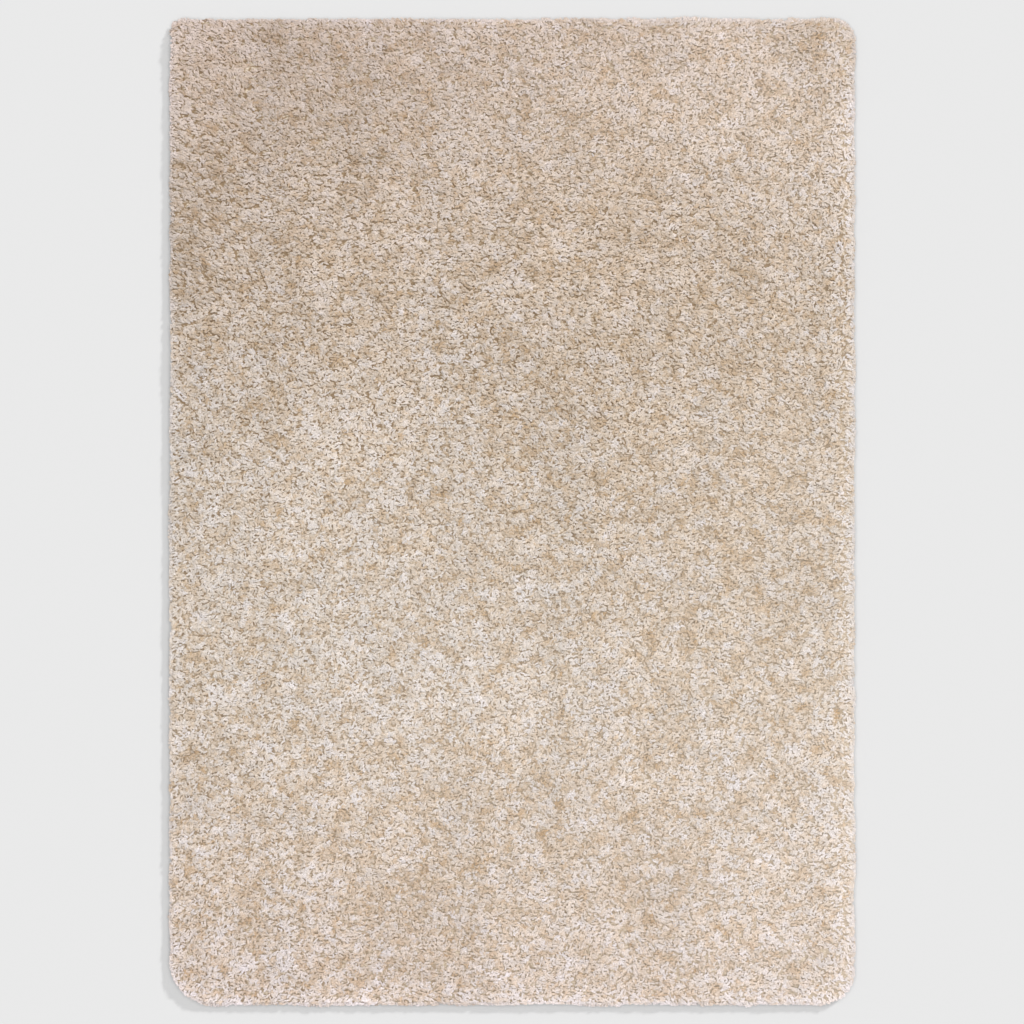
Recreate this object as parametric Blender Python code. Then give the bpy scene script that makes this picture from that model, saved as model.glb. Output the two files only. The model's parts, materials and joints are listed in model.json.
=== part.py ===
"""Shag rug, 160 x 230 cm, lying flat: one lumpy slab of pile with drooping locks at its rim.

Metres, +Z up. The origin is on the floor under the middle of the rug. X is its width and
Y its length. The flat underside, at Z = 0, is the back of the ground that holds the tufts.
"""

import math
import random

import bmesh
import bpy
from mathutils import Vector, noise

# Driving dimensions. The outline is that of the lock tips, as seen from above.
RUG_WIDTH = 1.600
RUG_LENGTH = 2.300
PILE_HEIGHT = 0.0275

# One row for each corner: the side it is on along X and Y, and how round the pile lies there.
CORNERS = (
    # side_x, side_y, radius
    (-1, 1, 0.022),
    (1, 1, 0.042),
    (1, -1, 0.066),
    (-1, -1, 0.072),
)

# The side of the slab, one row for each ring of points from its shoulder down to its foot.
RIM_RINGS = (
    # inset from the outline, height, unevenness of the inset
    (0.022, 0.0260, 0.0020),
    (0.012, 0.0195, 0.0015),
    (0.009, 0.0100, 0.0010),
    (0.013, 0.0000, 0.0000),
)

# The slab's top is a grid of cells, and each cell along the rim carries one lock.
CELLS_ACROSS = 42
CELLS_ALONG = 62

# Lumps in the pile: soft swells, and one clump for each point of the grid.
SWELL_WIDTH = 0.260
SWELL_HEIGHT = 0.0040
CLUMP_HEIGHT = 0.0062
CLUMP_SHIFT = 0.009
RIM_CLUMP_SHARE = 0.35

# Rim locks: how far they stop short of the outline, how far they hang, and how they sway.
LOCK_SHORTFALL = (0.0, 0.0030)
LOCK_DROP = (0.006, 0.013)
LOCK_SWAY = 0.009
LOWEST_TIP_HEIGHT = 0.0008

# A lock's sections from its root to just before its tip, as shares of its whole.
LOCK_SECTIONS = (
    # way out, way down, width of the cell, height of the cell
    (0.00, 0.00, 0.56, 0.80),
    (0.60, 0.36, 0.36, 0.55),
)

SEED = 7


def corner_radius(x, y):
    """How round the outline is in the quarter that holds this point."""
    return next(
        radius for side_x, side_y, radius in CORNERS if side_x * x >= 0 and side_y * y >= 0
    )


def on_outline(u, v, inset):
    """The place of a point of the square -1..1 on the rug, inset from its rounded outline."""
    x = u * (RUG_WIDTH / 2 - inset)
    y = v * (RUG_LENGTH / 2 - inset)
    radius = max(corner_radius(x, y), inset)
    past_x = abs(x) - (RUG_WIDTH / 2 - radius)
    past_y = abs(y) - (RUG_LENGTH / 2 - radius)
    from_centre = math.hypot(past_x, past_y)
    if past_x > 0 and past_y > 0 and from_centre > radius - inset:
        shrink = 1 - (radius - inset) / from_centre
        x -= math.copysign(past_x * shrink, x)
        y -= math.copysign(past_y * shrink, y)
    return x, y


def pulled_inside(x, y):
    """The point itself, or the nearest place on the rounded outline where it lies past it."""
    u = min(max(x / (RUG_WIDTH / 2), -1.0), 1.0)
    v = min(max(y / (RUG_LENGTH / 2), -1.0), 1.0)
    return on_outline(u, v, 0.0)


def pile_top(mesh, draw):
    """The slab's lumpy top, a grid. Returns each point's place in the square -1..1."""
    bmesh.ops.create_grid(mesh, x_segments=CELLS_ACROSS, y_segments=CELLS_ALONG, size=1.0)
    squares = {vert: (vert.co.x, vert.co.y) for vert in mesh.verts}
    inset, shoulder_height, uneven = RIM_RINGS[0]
    for vert, (u, v) in squares.items():
        clump = draw.uniform(-CLUMP_HEIGHT, CLUMP_HEIGHT)
        if vert.is_boundary:
            x, y = on_outline(u, v, inset + draw.uniform(-uneven, uneven))
            z = shoulder_height + RIM_CLUMP_SHARE * clump
        else:
            x, y = on_outline(u, v, inset)
            swell = SWELL_HEIGHT * noise.noise(Vector((x, y, 0)) / SWELL_WIDTH)
            x += draw.uniform(-CLUMP_SHIFT, CLUMP_SHIFT)
            y += draw.uniform(-CLUMP_SHIFT, CLUMP_SHIFT)
            z = PILE_HEIGHT + swell + clump
        vert.co = (x, y, z)
    return squares


def pile_sides(mesh, squares, draw):
    """Draws the rim down ring by ring and closes the foot. Returns each ring's new faces."""
    rings = []
    rim = [edge for edge in mesh.edges if edge.is_boundary]
    for inset, height, uneven in RIM_RINGS[1:]:
        above = {vert for edge in rim for vert in edge.verts}
        made = bmesh.ops.extrude_edge_only(mesh, edges=rim)["geom"]
        rings.append([item for item in made if isinstance(item, bmesh.types.BMFace)])
        below = [item for item in made if isinstance(item, bmesh.types.BMVert)]
        for vert in below:
            neighbours = (edge.other_vert(vert) for edge in vert.link_edges)
            squares[vert] = next(squares[other] for other in neighbours if other in above)
        for vert in sorted(below, key=lambda vert: squares[vert]):
            x, y = on_outline(*squares[vert], inset + draw.uniform(-uneven, uneven))
            vert.co = (x, y, height)
        rim = [edge for edge in mesh.edges if edge.is_boundary]
    bmesh.ops.contextual_create(mesh, geom=rim)
    return rings


def grow_lock(mesh, face, squares, draw):
    """Draws the middle of one side face out into a four-sided lock that ends in a point."""
    root = face.calc_center_median()
    arms = [vert.co - root for vert in face.verts]
    u = sum(squares[vert][0] for vert in face.verts) / len(face.verts)
    v = sum(squares[vert][1] for vert in face.verts) / len(face.verts)
    tip_height = max(root.z - draw.uniform(*LOCK_DROP), LOWEST_TIP_HEIGHT)
    tip = Vector((*on_outline(u, v, draw.uniform(*LOCK_SHORTFALL)), tip_height))
    across = (tip - root).cross(Vector((0, 0, 1))).normalized()
    tip += across * draw.uniform(-LOCK_SWAY, LOCK_SWAY)
    tip.xy = pulled_inside(tip.x, tip.y)

    for way_out, way_down, width, height in LOCK_SECTIONS:
        face = bmesh.ops.extrude_discrete_faces(mesh, faces=[face])["faces"][0]
        centre = root.lerp(tip, way_out)
        centre.z = root.z - (root.z - tip.z) * way_down
        for vert, arm in zip(face.verts, arms, strict=True):
            along_rim = across * arm.dot(across)
            up_the_side = arm - along_rim
            vert.co = centre + along_rim * width + up_the_side * height
    face = bmesh.ops.extrude_discrete_faces(mesh, faces=[face])["faces"][0]
    bmesh.ops.pointmerge(mesh, verts=face.verts[:], merge_co=tip)


def yarn_material(name, colour, roughness):
    """A plain fibre finish. The colour is linear RGB."""
    material = bpy.data.materials.new(name)
    material.use_nodes = True
    shader = material.node_tree.nodes["Principled BSDF"]
    shader.inputs["Base Color"].default_value = (*colour, 1.0)
    shader.inputs["Roughness"].default_value = roughness
    shader.inputs["Metallic"].default_value = 0.0
    material.diffuse_color = (*colour, 1.0)
    return material


def shag_pile(collection):
    """The rug: a lumpy slab with a lock on every rim cell, higher and lower by turns."""
    draw = random.Random(SEED)
    mesh = bmesh.new()
    squares = pile_top(mesh, draw)
    rings = pile_sides(mesh, squares, draw)

    def turn_round_rug(face):
        centre = face.calc_center_median()
        return math.atan2(centre.y / RUG_LENGTH, centre.x / RUG_WIDTH)

    rows = [sorted(ring, key=turn_round_rug) for ring in rings]
    for number, column in enumerate(list(zip(*rows, strict=True))):
        grow_lock(mesh, column[number % len(rows)], squares, draw)
    bmesh.ops.recalc_face_normals(mesh, faces=mesh.faces)

    data = bpy.data.meshes.new("shag_pile")
    mesh.to_mesh(data)
    mesh.free()
    data.shade_smooth()
    data.set_sharp_from_angle(angle=math.radians(40))
    data.materials.append(yarn_material("cream_yarn", (0.62, 0.52, 0.42), 0.95))
    rug = bpy.data.objects.new("shag_pile", data)
    collection.objects.link(rug)
    return rug


def main():
    for old in list(bpy.data.objects):
        bpy.data.objects.remove(old)
    collection = bpy.data.collections.new("shag_rug")
    bpy.context.scene.collection.children.link(collection)
    shag_pile(collection)


main()
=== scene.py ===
# %% [markdown]
# # A shag rug, 160 x 230 cm
#
# The rug is a ground cloth with thick, soft yarn tufted into it, about 30 mm tall. Seen from
# above it is a great many cut yarn ends, bent over by the brush and by feet. This lesson
# grows each end as a small lock of mesh, lays the locks like the real pile, and gives them
# the finish of heat-set yarn. The frame holds the rug's solid at its real size, in metres.
#
# Blender's hair could grow such a pile too. Plain mesh is used here, because each lock is
# then a body of its own, which can be measured, coloured and exported like any other.

import json
import math

import bmesh
import bpy
import numpy as np
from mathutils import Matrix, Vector
from mathutils.bvhtree import BVHTree
from mathutils.kdtree import KDTree

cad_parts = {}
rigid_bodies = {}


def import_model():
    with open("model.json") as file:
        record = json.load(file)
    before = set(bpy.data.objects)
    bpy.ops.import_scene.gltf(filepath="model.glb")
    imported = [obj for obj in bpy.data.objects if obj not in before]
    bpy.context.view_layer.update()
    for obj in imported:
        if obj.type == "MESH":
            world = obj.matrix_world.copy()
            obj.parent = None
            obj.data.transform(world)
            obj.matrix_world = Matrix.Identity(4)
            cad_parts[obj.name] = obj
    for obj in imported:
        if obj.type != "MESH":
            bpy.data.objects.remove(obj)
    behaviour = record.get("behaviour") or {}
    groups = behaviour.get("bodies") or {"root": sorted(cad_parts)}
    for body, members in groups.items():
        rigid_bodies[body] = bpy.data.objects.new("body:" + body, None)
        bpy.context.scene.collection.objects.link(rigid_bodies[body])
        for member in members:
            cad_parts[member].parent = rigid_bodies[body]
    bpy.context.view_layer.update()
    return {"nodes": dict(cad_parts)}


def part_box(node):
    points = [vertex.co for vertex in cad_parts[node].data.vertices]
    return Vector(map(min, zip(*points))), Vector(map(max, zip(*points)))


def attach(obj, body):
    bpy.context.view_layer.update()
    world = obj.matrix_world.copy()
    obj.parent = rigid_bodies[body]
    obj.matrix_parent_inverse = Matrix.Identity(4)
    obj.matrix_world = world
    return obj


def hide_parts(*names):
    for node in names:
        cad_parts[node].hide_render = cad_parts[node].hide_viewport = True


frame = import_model()
MM = 0.001
low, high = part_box("shag_pile")
half_width = high.x
half_length = high.y
print(f"the rug's solid is {high.x - low.x:.3f} x {high.y - low.y:.3f} x {high.z - low.z:.4f} m")

# %% [markdown]
# ## The view
#
# The rug is pictured from straight above. A long lens far away shows the pile nearly without
# perspective, so the rim looks the same on all four sides. The lens could be orthographic,
# but a perspective one works from every other angle too. The width of the view is measured
# at the height of the rug's outline, and the camera hangs where the lens sees that width.

# %% The camera, straight above the rug
VIEW_WIDTH = 2.3853
OUTLINE_HEIGHT = 12 * MM
LENS = 100.0
SENSOR = 36.0

lens_data = bpy.data.cameras.new("camera")
lens_data.lens = LENS
lens_data.sensor_width = SENSOR
camera = bpy.data.objects.new("camera", lens_data)
camera.location = (0.0, 0.0, OUTLINE_HEIGHT + VIEW_WIDTH * LENS / SENSOR)
bpy.context.scene.collection.objects.link(camera)
bpy.context.scene.camera = camera
bpy.context.scene.view_settings.view_transform = "Standard"
print(f"the camera hangs {camera.location.z:.2f} m above the floor")

# %% [markdown]
# ## Colours, nodes and finishes
#
# Colours are written as sRGB hex values, which is how a colour picker shows them, and turned
# to linear light, which is what a shader works in. One helper adds a node, sets it up and
# links it, so that a material reads as a list of steps. Another starts a finish: nothing on
# this rug is metal, so a finish starts from its roughness and its index of refraction (IOR).

# %% Three helpers for materials
def linear(hex_colour):
    """An sRGB hex colour as linear RGBA."""
    parts = [int(hex_colour[at : at + 2], 16) / 255 for at in (0, 2, 4)]
    bent = [part / 12.92 if part <= 0.04045 else ((part + 0.055) / 1.055) ** 2.4 for part in parts]
    return (*bent, 1.0)


def add_node(tree, kind, inputs=None, **settings):
    """A new node with its settings. An input is a value, or another node's output to link."""
    node = tree.nodes.new(kind)
    for name, value in settings.items():
        setattr(node, name, value)
    for socket, value in (inputs or {}).items():
        if isinstance(value, bpy.types.NodeSocket):
            tree.links.new(value, node.inputs[socket])
        else:
            node.inputs[socket].default_value = value
    return node


def start_finish(name, roughness, ior, specular=0.5):
    """A new material, its node tree and its shader."""
    material = bpy.data.materials.new(name)
    material.use_nodes = True
    shader = material.node_tree.nodes["Principled BSDF"]
    shader.inputs["Roughness"].default_value = roughness
    shader.inputs["IOR"].default_value = ior
    shader.inputs["Specular IOR Level"].default_value = specular
    return material, material.node_tree, shader


print(f"sRGB 808080 is {linear('808080')[0]:.3f} in linear light")

# %% [markdown]
# ## The floor
#
# The rug lies on a pale studio floor in matt paint. It has to be wider than any view of the
# rug, and a hair lower than the rug's underside, so that the two don't lie in one plane.

# %% A plain floor
FLOOR_SIZE = 60.0
FLOOR_GAP = 0.2 * MM
FLOOR_COLOUR = "d0d0d0"
PAINT_IOR = 1.5

bpy.ops.mesh.primitive_plane_add(size=FLOOR_SIZE, location=(0, 0, -FLOOR_GAP))
floor = bpy.context.object
floor.name = "studio_floor"
floor_paint, floor_tree, floor_shader = start_finish("matt_floor_paint", 0.9, PAINT_IOR, 0.0)
floor_shader.inputs["Base Color"].default_value = linear(FLOOR_COLOUR)
floor.data.materials.append(floor_paint)
print(f"the floor is {FLOOR_SIZE:.0f} m wide")

# %% [markdown]
# ## The light
#
# The light is a broad softbox overhead, a smaller lamp that stands to the upper right and
# draws the narrow shadow past the left and lower edge, and a little light from all around.
# Both lamps are suns, because a sun lights the whole floor evenly. A wide sun looks like a
# big lamp, and its shadows are soft. A low sun spreads its light over more floor, so its
# strength is divided by the sine of its height.

# %% Two lamps
LIGHT_ON_FLOOR = 1.3
LAMPS = (
    # name, share of the floor's light, height above the horizon, direction, width of the disc
    ("overhead_softbox", 0.64, 90.0, 0.0, 60.0),
    ("upper_right_lamp", 0.20, 32.0, 45.0, 7.0),
)

for name, share, elevation, azimuth, disc in LAMPS:
    lamp_data = bpy.data.lights.new(name, "SUN")
    lamp_data.energy = LIGHT_ON_FLOOR * share * math.pi / math.sin(math.radians(elevation))
    lamp_data.angle = math.radians(disc)
    lamp = bpy.data.objects.new(name, lamp_data)
    lamp.rotation_euler = (0, math.radians(90 - elevation), math.radians(azimuth))
    bpy.context.scene.collection.objects.link(lamp)
    print(f"{name}: {lamp_data.energy:.2f} W/m2")

# %% [markdown]
# ## Light from all around
#
# The walls of the studio throw some light back. The world does that with one colour. What
# the camera sees past the floor is another matter, so the light path picks between the two.

# %% The world
SURROUND_SHARE = 0.16
BACKDROP_COLOUR = "e9e9e9"

world = bpy.data.worlds.new("studio")
world.use_nodes = True
bpy.context.scene.world = world
world_tree = world.node_tree
world_tree.nodes.clear()
seen = add_node(world_tree, "ShaderNodeLightPath")
surround = add_node(
    world_tree,
    "ShaderNodeBackground",
    {"Color": (1, 1, 1, 1), "Strength": LIGHT_ON_FLOOR * SURROUND_SHARE},
)
backdrop = add_node(
    world_tree, "ShaderNodeBackground", {"Color": linear(BACKDROP_COLOUR), "Strength": 1.0}
)
chosen = add_node(
    world_tree,
    "ShaderNodeMixShader",
    {0: seen.outputs["Is Camera Ray"], 1: surround.outputs[0], 2: backdrop.outputs[0]},
)
add_node(world_tree, "ShaderNodeOutputWorld", {"Surface": chosen.outputs[0]})
print(f"the surround gives {SURROUND_SHARE:.0%} of the light on the floor")

# %% [markdown]
# ## The rug's outline
#
# The rug is cut square, but the pile lies rounder at some corners than at others. The rug is
# drawn as a rectangle with a radius for each corner, and each point of it gets two answers:
# how far in from the outline it lies, and which way is outwards. Arrays answer for all points
# at once.

# %% How deep inside the rug a point lies
CORNERS = (
    # side_x, side_y, radius, in the order in which one walks round the rug
    (1, 1, 56 * MM),
    (-1, 1, 34 * MM),
    (-1, -1, 98 * MM),
    (1, -1, 78 * MM),
)
EDGE_REACH = 40 * MM


def depth_inside(x, y):
    """How far each point lies inside the rounded outline. It is negative outside."""
    radius = np.zeros_like(x)
    for side_x, side_y, corner_radius in CORNERS:
        radius[(side_x * x >= 0) & (side_y * y >= 0)] = corner_radius
    past_x = np.abs(x) - (half_width - radius)
    past_y = np.abs(y) - (half_length - radius)
    round_corner = np.hypot(np.maximum(past_x, 0), np.maximum(past_y, 0))
    return radius - round_corner - np.minimum(np.maximum(past_x, past_y), 0)


def outwards(x, y):
    """The direction away from the rug's middle, square to the nearest edge, for each point."""
    along_x = np.sign(x) * np.exp((np.abs(x) - half_width) / EDGE_REACH)
    along_y = np.sign(y) * np.exp((np.abs(y) - half_length) / EDGE_REACH)
    size = np.maximum(np.hypot(along_x, along_y), 1e-12)
    return np.stack([along_x / size, along_y / size], axis=1)


middle = np.zeros(1)
print(f"the middle of the rug lies {depth_inside(middle, middle)[0]:.2f} m inside its outline")

# %% [markdown]
# ## Soft noise
#
# Swells, streaks and clumps need a number that changes smoothly over the rug. Blender has
# such noise for shaders. For arrays of points it is quick to make: random values on a grid,
# blended smoothly between the grid's points. The grid starts 2 m before the rug's middle, so
# every point of the rug lies past its first row and column. A pile is uneven at several sizes
# at once, so a second function adds up noises from a table, each with its strength and size.

# %% A smooth random number for each point
NOISE_START = 2.0


def soft_noise(x, y, width, length, seed):
    """Numbers from -1 to 1 that change smoothly over patches of this width and length."""
    across = (x + NOISE_START) / width
    along = (y + NOISE_START) / length
    column = np.floor(across).astype(int)
    row = np.floor(along).astype(int)
    grid = np.random.default_rng(seed).uniform(-1, 1, (row.max() + 2, column.max() + 2))
    right = across - column
    up = along - row
    right = right * right * (3 - 2 * right)
    up = up * up * (3 - 2 * up)
    below = grid[row, column] * (1 - right) + grid[row, column + 1] * right
    above = grid[row + 1, column] * (1 - right) + grid[row + 1, column + 1] * right
    return below * (1 - up) + above * up


def layered_noise(x, y, layers):
    """Several soft noises in one. Each layer is its strength, width and length (mm) and seed."""
    total = 0.0
    for strength, width, length, seed in layers:
        total = total + strength * soft_noise(x, y, width * MM, length * MM, seed)
    return total


ruler = np.linspace(-1, 1, 201)
sample = soft_noise(ruler, 0 * ruler, 100 * MM, 100 * MM, 11)
print(f"along two metres, soft noise goes from {sample.min():.2f} to {sample.max():.2f}")

# %% [markdown]
# ## How the pile was brushed
#
# A brushed pile shows patches, lighter or darker by how the nap lies to the light. That light
# and shade is painted into the yarn's colour as the nap's shade, where a positive shade is
# lighter. This rug is painted darker towards its far end and its left side, with some patches
# that are listed in a table. Between them the nap wanders a little, as on any rug: streaks
# from the brush, which are long and narrow, and swells of several sizes.

# %% A table of brushed patches
PATCHES = (
    # x, y, reach across, reach along (m), painted shade, gold, swing of the nap (degrees), tidiness
    (-0.46, 1.00, 0.30, 0.20, -0.75, 0.10, -26, 0.6),
    (-0.76, 0.68, 0.18, 0.26, -0.65, 0.00, -16, 0.9),
    (-0.20, 0.62, 0.50, 0.22, 0.05, 0.20, -6, 0.8),
    (0.50, 0.98, 0.30, 0.20, 0.55, 0.10, 18, 0.0),
    (0.30, 0.52, 0.30, 0.30, -0.20, 0.75, -12, 0.5),
    (-0.42, 0.06, 0.28, 0.26, 0.50, -0.50, -8, 0.0),
    (0.06, 0.16, 0.14, 0.18, -0.25, 0.00, -14, 0.3),
    (0.60, 0.02, 0.24, 0.40, -0.40, 0.40, 2, 0.7),
    (-0.45, -0.32, 0.34, 0.26, 0.15, -0.90, 6, 0.0),
    (-0.10, -0.43, 0.14, 0.13, 0.50, -0.60, -4, 0.0),
    (-0.12, -0.90, 0.22, 0.18, -0.40, 0.50, -10, 0.0),
    (0.60, -0.84, 0.22, 0.22, 0.25, -0.30, 8, 0.5),
    (0.34, -0.90, 0.10, 0.08, -0.30, 0.30, -10, 0.0),
    (-0.70, -1.02, 0.16, 0.16, 0.00, -0.10, 34, 0.0),
    (0.74, -1.06, 0.12, 0.12, 0.10, -0.30, -34, 0.4),
    (-0.72, 1.00, 0.14, 0.20, 0.40, 0.00, -16, 0.3),
    (-0.76, 0.18, 0.14, 0.24, 0.00, -0.90, 0, 0.0),
    (-0.48, 1.02, 0.12, 0.12, 0.35, 0.00, 0, 0.0),
    (-0.48, -0.04, 0.10, 0.40, 0.30, 0.00, 0, 0.0),
    (0.29, -0.06, 0.12, 0.26, -0.35, 0.20, 0, 0.0),
    (0.30, -0.80, 0.11, 0.14, -0.45, 0.30, 0, 0.0),
)


def nearness(x, y, place_x, place_y, across, along):
    """1 at a place on the rug, and smoothly down to 0 past its reach across and along."""
    return np.exp(-(((x - place_x) / across) ** 2 + ((y - place_y) / along) ** 2))


print(f"{len(PATCHES)} patches are brushed into the nap")

# %% The nap at each point
SHADE_LAYERS = (
    # strength, width, length (mm), seed: a streak of the brush, then swells
    (0.20, 60, 900, 11),
    (0.26, 210, 170, 12),
    (0.25, 95, 80, 15),
    (0.30, 34, 30, 16),
)
GOLD_LAYERS = ((0.35, 60, 900, 14),)
SWING_LAYERS = ((14, 260, 200, 13),)
# The nap's painted shade: darker towards the far end and the left side.
DARK_END = 0.50
DARK_SIDE = 0.34
GOLDEN_END = 0.25
ENDS_MEET = 0.10
ENDS_BLEND = 0.45


def brushed(x, y):
    """At each point: the nap's painted light and shade, how golden it is, its swing and its tidiness.
    """
    shade = layered_noise(x, y, SHADE_LAYERS)
    shade += DARK_END * (np.tanh((ENDS_MEET - y) / ENDS_BLEND) - 0.5)
    shade += DARK_SIDE * x / half_width
    gold = layered_noise(x, y, GOLD_LAYERS)
    gold += GOLDEN_END * np.tanh((y - ENDS_MEET) / ENDS_BLEND)
    swing = layered_noise(x, y, SWING_LAYERS)
    tidiness = np.zeros_like(x)
    for *place, shade_change, gold_change, swing_change, tidiness_change in PATCHES:
        weight = nearness(x, y, *place)
        shade += weight * shade_change
        gold += weight * gold_change
        swing += weight * swing_change
        tidiness += weight * tidiness_change
    return shade, gold, swing, np.clip(tidiness, 0, 1)


print(f"{len(SHADE_LAYERS)} layers of soft noise shade the nap between its patches")

# %% [markdown]
# ## A touch of rose at the ends
#
# Towards both ends of the rug the yarn lies another way, and looks less yellow there, with
# a touch of rose. The touch grows with the distance from a calm row across the rug, and a
# little more on its left side. It is a smooth formula, because nothing on the rug marks it.

# %% How rosy the yarn looks
CALM_ROW = -0.20
ROSE_REACH = 1.15
FAR_ROSE, FAR_ROSE_SLOPE = 0.66, 0.24
NEAR_ROSE, NEAR_ROSE_SLOPE = 1.15, 0.30


def rosy(x, y):
    """How rosy the yarn looks at each point: 0 is not at all."""
    side = x / half_width
    far_strength = FAR_ROSE - FAR_ROSE_SLOPE * side
    near_strength = NEAR_ROSE - NEAR_ROSE_SLOPE * side
    strength = np.where(y > CALM_ROW, far_strength, near_strength)
    return strength * ((y - CALM_ROW) / ROSE_REACH) ** 2


far_and_near = np.array([half_length, -half_length])
print(f"rosiness at the far and the near end: {rosy(np.zeros(2), far_and_near).round(2)}")

# %% [markdown]
# ## Speckles
#
# Yarn is spun from fibres that took the dye a little differently, so some ends are pale and
# some golden. Where the pile stands up one sees the ends as speckles, and where it is combed
# flat the colours run together. The speckles are strongest at the near end of this rug, and
# weakest in its far left corner.

# %% How much golden and pale locks differ
SPECKLES = 1.18
SPECKLES_LOST_ALONG = 0.42
SPECKLES_GAINED_ACROSS = 0.20
COMBED_CORNER = (-0.80, 1.00, 0.60, 0.60)
SPECKLES_COMBED_OUT = 0.55


def speckled(x, y):
    """How much the locks differ in colour at each point: 1 is usual."""
    spots = SPECKLES - SPECKLES_LOST_ALONG * y / half_length
    spots = spots + SPECKLES_GAINED_ACROSS * x / half_width
    return spots - SPECKLES_COMBED_OUT * nearness(x, y, *COMBED_CORNER)


print(f"speckles at the far and the near end: {speckled(np.zeros(2), far_and_near).round(2)}")

# %% [markdown]
# ## How unevenly the pile stands
#
# Where the pile was walked on or shaken up, its ends stand at uneven heights, and one sees
# down between them. Where it was combed they lie level and close. As with the nap, a slow
# change over the whole rug comes first, and a table adds the places that differ. The first
# place reaches so far across that it is a band from side to side.

# %% Ruffled places
USUAL_RUFFLE = 0.76
RUFFLE_LOST_ACROSS = 0.18
RUFFLE_GAINED_FAR = 0.11
RUFFLE_BLEND = 0.50
RUFFLED_PLACES = (
    # x, y, reach across, reach along (m), change
    (0.00, 0.50, 9.00, 0.35, 0.22),
    (-0.70, 0.75, 0.35, 0.35, 0.17),
    (0.20, 0.05, 0.35, 0.40, 0.16),
    (0.50, 1.00, 0.40, 0.20, -0.08),
    (0.70, -0.95, 0.40, 0.35, -0.12),
)


def ruffled(x, y):
    """How unevenly the pile stands at each point: 1 is ruffled, and combed pile has less."""
    uneven = USUAL_RUFFLE - RUFFLE_LOST_ACROSS * x / half_width
    uneven = uneven + RUFFLE_GAINED_FAR * np.tanh((y - ENDS_MEET) / RUFFLE_BLEND)
    for *place, change in RUFFLED_PLACES:
        uneven += change * nearness(x, y, *place)
    return uneven


print(f"unevenness at the far and the near end: {ruffled(np.zeros(2), far_and_near).round(2)}")

# %% [markdown]
# ## Heights from the solid
#
# The locks keep the form of the rug's solid: their tips reach its lumpy top. A ray cast
# straight down on the solid gives the height at any point. A BVH tree sorts the solid's
# faces into boxes, so that each ray only tests the few faces near it.

# %% The solid's height under a point
RAY_START = 0.1

solid = frame["nodes"]["shag_pile"]
solid_tree = BVHTree.FromPolygons(
    [vertex.co for vertex in solid.data.vertices],
    [face.vertices for face in solid.data.polygons],
)


def solid_height(x, y):
    """The height of the solid's top at each point, and 0 beside the rug."""
    down = Vector((0, 0, -1))
    heights = np.zeros(len(x))
    for number, (at_x, at_y) in enumerate(zip(x.tolist(), y.tolist(), strict=True)):
        hit = solid_tree.ray_cast(Vector((at_x, at_y, RAY_START)), down)[0]
        if hit is not None:
            heights[number] = hit.z
    return heights


print(f"the solid is {solid_height(middle, middle)[0] / MM:.1f} mm high in its middle")

# %% [markdown]
# ## The rim's profile
#
# Towards the rim the pile falls away like the edge of a cushion: slowly at first, then
# steeply. The fall is a power curve of the depth inside the outline, and further in it
# blends into the solid's own height.

# %% The height of the pile's top
RIM_FOOT = 13 * MM
RIM_SHOULDER = 26.5 * MM
RIM_ROUNDING = 20 * MM
RIM_STEEPNESS = 2.4
RIM_BLEND = (12 * MM, 26 * MM)


def pile_top(x, y):
    """The height of the pile's top at each point, with its rounded rim."""
    depth = np.maximum(depth_inside(x, y), 0)
    fall = np.maximum(1 - depth / RIM_ROUNDING, 0) ** RIM_STEEPNESS
    rim_height = RIM_SHOULDER - (RIM_SHOULDER - RIM_FOOT) * fall
    share = np.clip((depth - RIM_BLEND[0]) / (RIM_BLEND[1] - RIM_BLEND[0]), 0, 1)
    return rim_height * (1 - share) + np.maximum(solid_height(x, y), RIM_FOOT) * share


steps_in = np.array([0, 5, 10, 20, 40])
profile = pile_top(half_width - steps_in * MM, np.zeros(5)) / MM
print(f"{steps_in} mm in from the rim the pile is {profile.round(1)} mm high")

# %% [markdown]
# ## Where the yarn stands
#
# The tufts stand in rows, but the pile hides the rows, so the spots are a staggered grid
# with each spot moved at random. All random numbers come from one generator with a fixed
# seed, so the rug is the same each time. The first row stands a few millimetres inside the
# outline, because its yarn leans out over the edge.

# %% A spot for each lock
PITCH = 4.9 * MM
ROW_PITCH = PITCH * math.sqrt(3) / 2
SPOT_JITTER = 0.42
FIRST_SPOT_DEPTH = 4 * MM

draw = np.random.default_rng(7)


def staggered_grid(pitch_across, pitch_along, jitter, margin=0.0):
    """Points of a staggered grid over the rug, each moved at random by a share of the pitch."""
    columns = math.ceil((half_width + margin) / pitch_across)
    rows = math.ceil((half_length + margin) / pitch_along)
    column, row = np.meshgrid(np.arange(-columns, columns + 1), np.arange(-rows, rows + 1))
    x = (column + 0.5 * (row % 2)).ravel() * pitch_across
    y = row.ravel() * pitch_along
    x = x + draw.uniform(-jitter, jitter, x.size) * pitch_across
    y = y + draw.uniform(-jitter, jitter, y.size) * pitch_along
    return x, y


spot_x, spot_y = staggered_grid(PITCH, ROW_PITCH, SPOT_JITTER)
kept = depth_inside(spot_x, spot_y) > FIRST_SPOT_DEPTH
spot_x, spot_y = spot_x[kept], spot_y[kept]
print(f"{spot_x.size} locks stand in the pile")

# %% [markdown]
# ## Clumps
#
# Tufts of shag cling together. A coarser grid gives each clump a centre, and each lock joins
# the clump whose centre is nearest. A KD tree finds that centre quickly. Each clump has its
# own way to turn, its own height and its own shade, and a few lie back against the nap.

# %% The clumps and their ways
CLUMP_PITCH = 13 * MM
CLUMP_ROWS = 0.87
CLUMP_JITTER = 0.45
CLUMP_TURN = 20
CLUMP_LIFT = 0.8 * MM
NAP_ANGLE = 180.0
TURNED_BACK_ANGLE = 0.0
TURNED_BACK = 0.07


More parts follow.
